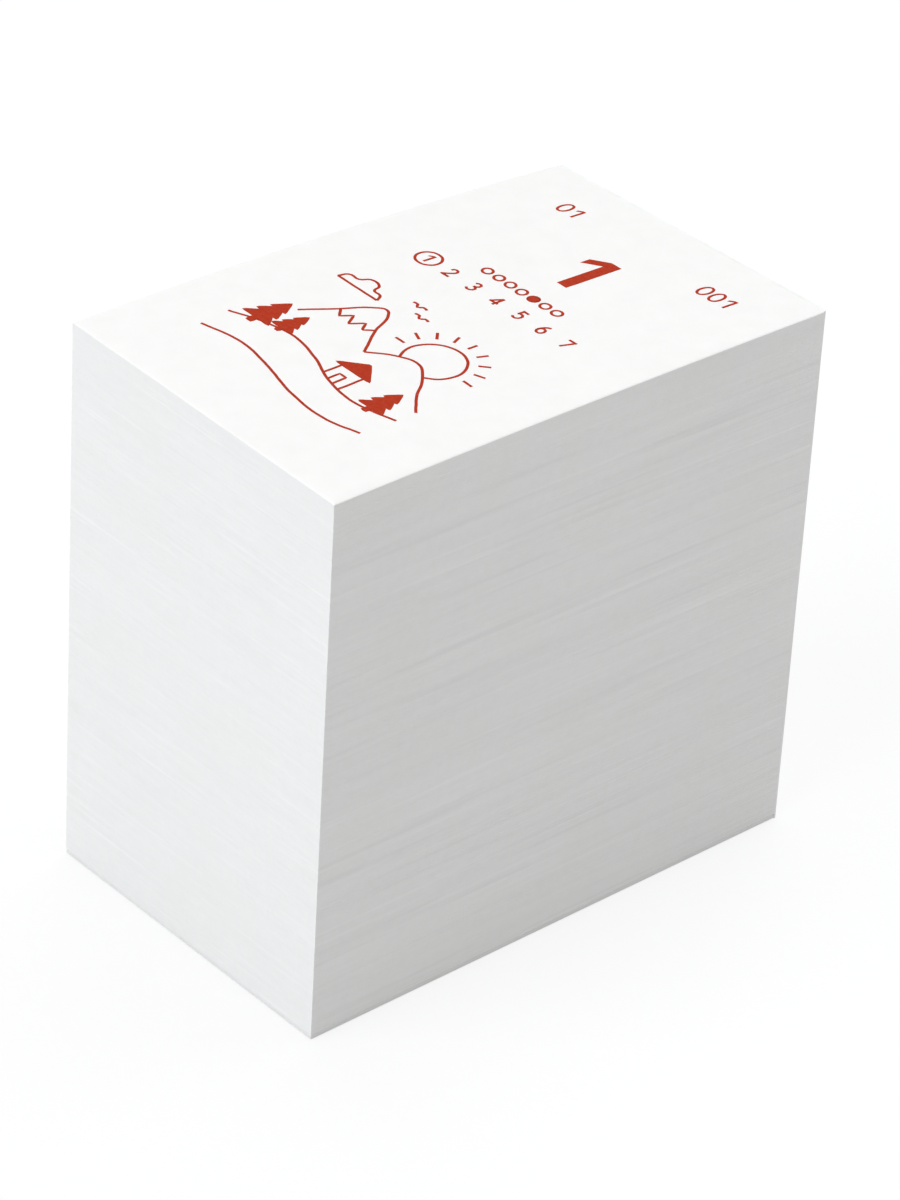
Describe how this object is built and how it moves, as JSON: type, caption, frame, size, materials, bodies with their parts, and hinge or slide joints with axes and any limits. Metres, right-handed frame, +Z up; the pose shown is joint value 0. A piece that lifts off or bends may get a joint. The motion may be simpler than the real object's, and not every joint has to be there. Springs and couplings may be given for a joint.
{
  "type": "tear-off day calendar",
  "caption": "Thick block of small day leaves, glued along the head of the page and backed with a card; the top leaf lifts and tears off, and the block fans.",
  "frame": {"origin": "middle of the block's footprint, on the surface that its backing card lies on", "axes": "+X along the lines of print, +Y up the page towards the glued edge, +Z up through the leaves"},
  "size_m": [0.0344, 0.0554, 0.0545],
  "materials": {
    "leaf_paper": "uncoated white woodfree paper, matt",
    "backing_card": "white-lined card, matt",
    "padding_glue": "dried flexible padding glue, satin"
  },
  "bodies": {
    "block": {"backing_card": "backing_card", "december_leaves": "leaf_paper", "glue_december": "padding_glue"},
    "november": {"november_leaves": "leaf_paper", "glue_november": "padding_glue"},
    "october": {"october_leaves": "leaf_paper", "glue_october": "padding_glue"},
    "september": {"september_leaves": "leaf_paper", "glue_september": "padding_glue"},
    "august": {"august_leaves": "leaf_paper", "glue_august": "padding_glue"},
    "july": {"july_leaves": "leaf_paper", "glue_july": "padding_glue"},
    "june": {"june_leaves": "leaf_paper", "glue_june": "padding_glue"},
    "may": {"may_leaves": "leaf_paper", "glue_may": "padding_glue"},
    "april": {"april_leaves": "leaf_paper", "glue_april": "padding_glue"},
    "march": {"march_leaves": "leaf_paper", "glue_march": "padding_glue"},
    "february": {"february_leaves": "leaf_paper", "glue_february": "padding_glue"},
    "january": {"january_leaves": "leaf_paper", "glue_january": "padding_glue"},
    "leaf_2": {"day_leaf_2": "leaf_paper"},
    "leaf_3": {"day_leaf_3": "leaf_paper"},
    "leaf_4": {"day_leaf_4": "leaf_paper"},
    "leaf_5": {"day_leaf_5": "leaf_paper"},
    "leaf_6": {"day_leaf_6": "leaf_paper"},
    "leaf_7": {"day_leaf_7": "leaf_paper"},
    "top_leaf_glue": {"glue_top_leaf": "padding_glue"},
    "top_leaf": {"day_leaf_1": "leaf_paper"}
  },
  "joints": [
    {"name": "fan_november", "type": "hinge", "parent": "block", "child": "november", "pos_m": [0, 0.0277, 0.00496], "axis": [-1, 0, 0], "range_deg": [0, 3]},
    {"name": "fan_october", "type": "hinge", "parent": "november", "child": "october", "pos_m": [0, 0.0277, 0.00928], "axis": [-1, 0, 0], "range_deg": [0, 3]},
    {"name": "fan_september", "type": "hinge", "parent": "october", "child": "september", "pos_m": [0, 0.0277, 0.01375], "axis": [-1, 0, 0], "range_deg": [0, 3]},
    {"name": "fan_august", "type": "hinge", "parent": "september", "child": "august", "pos_m": [0, 0.0277, 0.01807], "axis": [-1, 0, 0], "range_deg": [0, 3]},
    {"name": "fan_july", "type": "hinge", "parent": "august", "child": "july", "pos_m": [0, 0.0277, 0.02253], "axis": [-1, 0, 0], "range_deg": [0, 3]},
    {"name": "fan_june", "type": "hinge", "parent": "july", "child": "june", "pos_m": [0, 0.0277, 0.027], "axis": [-1, 0, 0], "range_deg": [0, 3]},
    {"name": "fan_may", "type": "hinge", "parent": "june", "child": "may", "pos_m": [0, 0.0277, 0.03132], "axis": [-1, 0, 0], "range_deg": [0, 3]},
    {"name": "fan_april", "type": "hinge", "parent": "may", "child": "april", "pos_m": [0, 0.0277, 0.03578], "axis": [-1, 0, 0], "range_deg": [0, 3]},
    {"name": "fan_march", "type": "hinge", "parent": "april", "child": "march", "pos_m": [0, 0.0277, 0.0401], "axis": [-1, 0, 0], "range_deg": [0, 3]},
    {"name": "fan_february", "type": "hinge", "parent": "march", "child": "february", "pos_m": [0, 0.0277, 0.04456], "axis": [-1, 0, 0], "range_deg": [0, 3]},
    {"name": "fan_january", "type": "hinge", "parent": "february", "child": "january", "pos_m": [0, 0.0277, 0.0486], "axis": [-1, 0, 0], "range_deg": [0, 3]},
    {"name": "lift_leaf_2", "type": "hinge", "parent": "january", "child": "leaf_2", "pos_m": [0, 0.0277, 0.05292], "axis": [-1, 0, 0], "range_deg": [0, 40]},
    {"name": "lift_leaf_3", "type": "hinge", "parent": "january", "child": "leaf_3", "pos_m": [0, 0.0277, 0.05292], "axis": [-1, 0, 0], "range_deg": [0, 33.33]},
    {"name": "lift_leaf_4", "type": "hinge", "parent": "january", "child": "leaf_4", "pos_m": [0, 0.0277, 0.05292], "axis": [-1, 0, 0], "range_deg": [0, 26.67]},
    {"name": "lift_leaf_5", "type": "hinge", "parent": "january", "child": "leaf_5", "pos_m": [0, 0.0277, 0.05292], "axis": [-1, 0, 0], "range_deg": [0, 20]},
    {"name": "lift_leaf_6", "type": "hinge", "parent": "january", "child": "leaf_6", "pos_m": [0, 0.0277, 0.05292], "axis": [-1, 0, 0], "range_deg": [0, 13.33]},
    {"name": "lift_leaf_7", "type": "hinge", "parent": "january", "child": "leaf_7", "pos_m": [0, 0.0277, 0.05292], "axis": [-1, 0, 0], "range_deg": [0, 6.67]},
    {"name": "tear_off_top_leaf", "type": "slide", "parent": "leaf_2", "child": "top_leaf_glue", "axis": [0, 0, 1], "range_m": [0, 0.06]},
    {"name": "lift_top_leaf", "type": "hinge", "parent": "top_leaf_glue", "child": "top_leaf", "pos_m": [0, 0.0273, 0.05306], "axis": [-1, 0, 0], "range_deg": [0, 100]}
  ],
  "couplings": [
    {"joint": "fan_october", "follows": "fan_november", "ratio": 1},
    {"joint": "fan_september", "follows": "fan_november", "ratio": 1},
    {"joint": "fan_august", "follows": "fan_november", "ratio": 1},
    {"joint": "fan_july", "follows": "fan_november", "ratio": 1},
    {"joint": "fan_june", "follows": "fan_november", "ratio": 1},
    {"joint": "fan_may", "follows": "fan_november", "ratio": 1},
    {"joint": "fan_april", "follows": "fan_november", "ratio": 1},
    {"joint": "fan_march", "follows": "fan_november", "ratio": 1},
    {"joint": "fan_february", "follows": "fan_november", "ratio": 1},
    {"joint": "fan_january", "follows": "fan_november", "ratio": 1},
    {"joint": "lift_leaf_3", "follows": "lift_leaf_2", "ratio": 0.83333},
    {"joint": "lift_leaf_4", "follows": "lift_leaf_2", "ratio": 0.66667},
    {"joint": "lift_leaf_5", "follows": "lift_leaf_2", "ratio": 0.5},
    {"joint": "lift_leaf_6", "follows": "lift_leaf_2", "ratio": 0.33333},
    {"joint": "lift_leaf_7", "follows": "lift_leaf_2", "ratio": 0.16667}
  ]
}
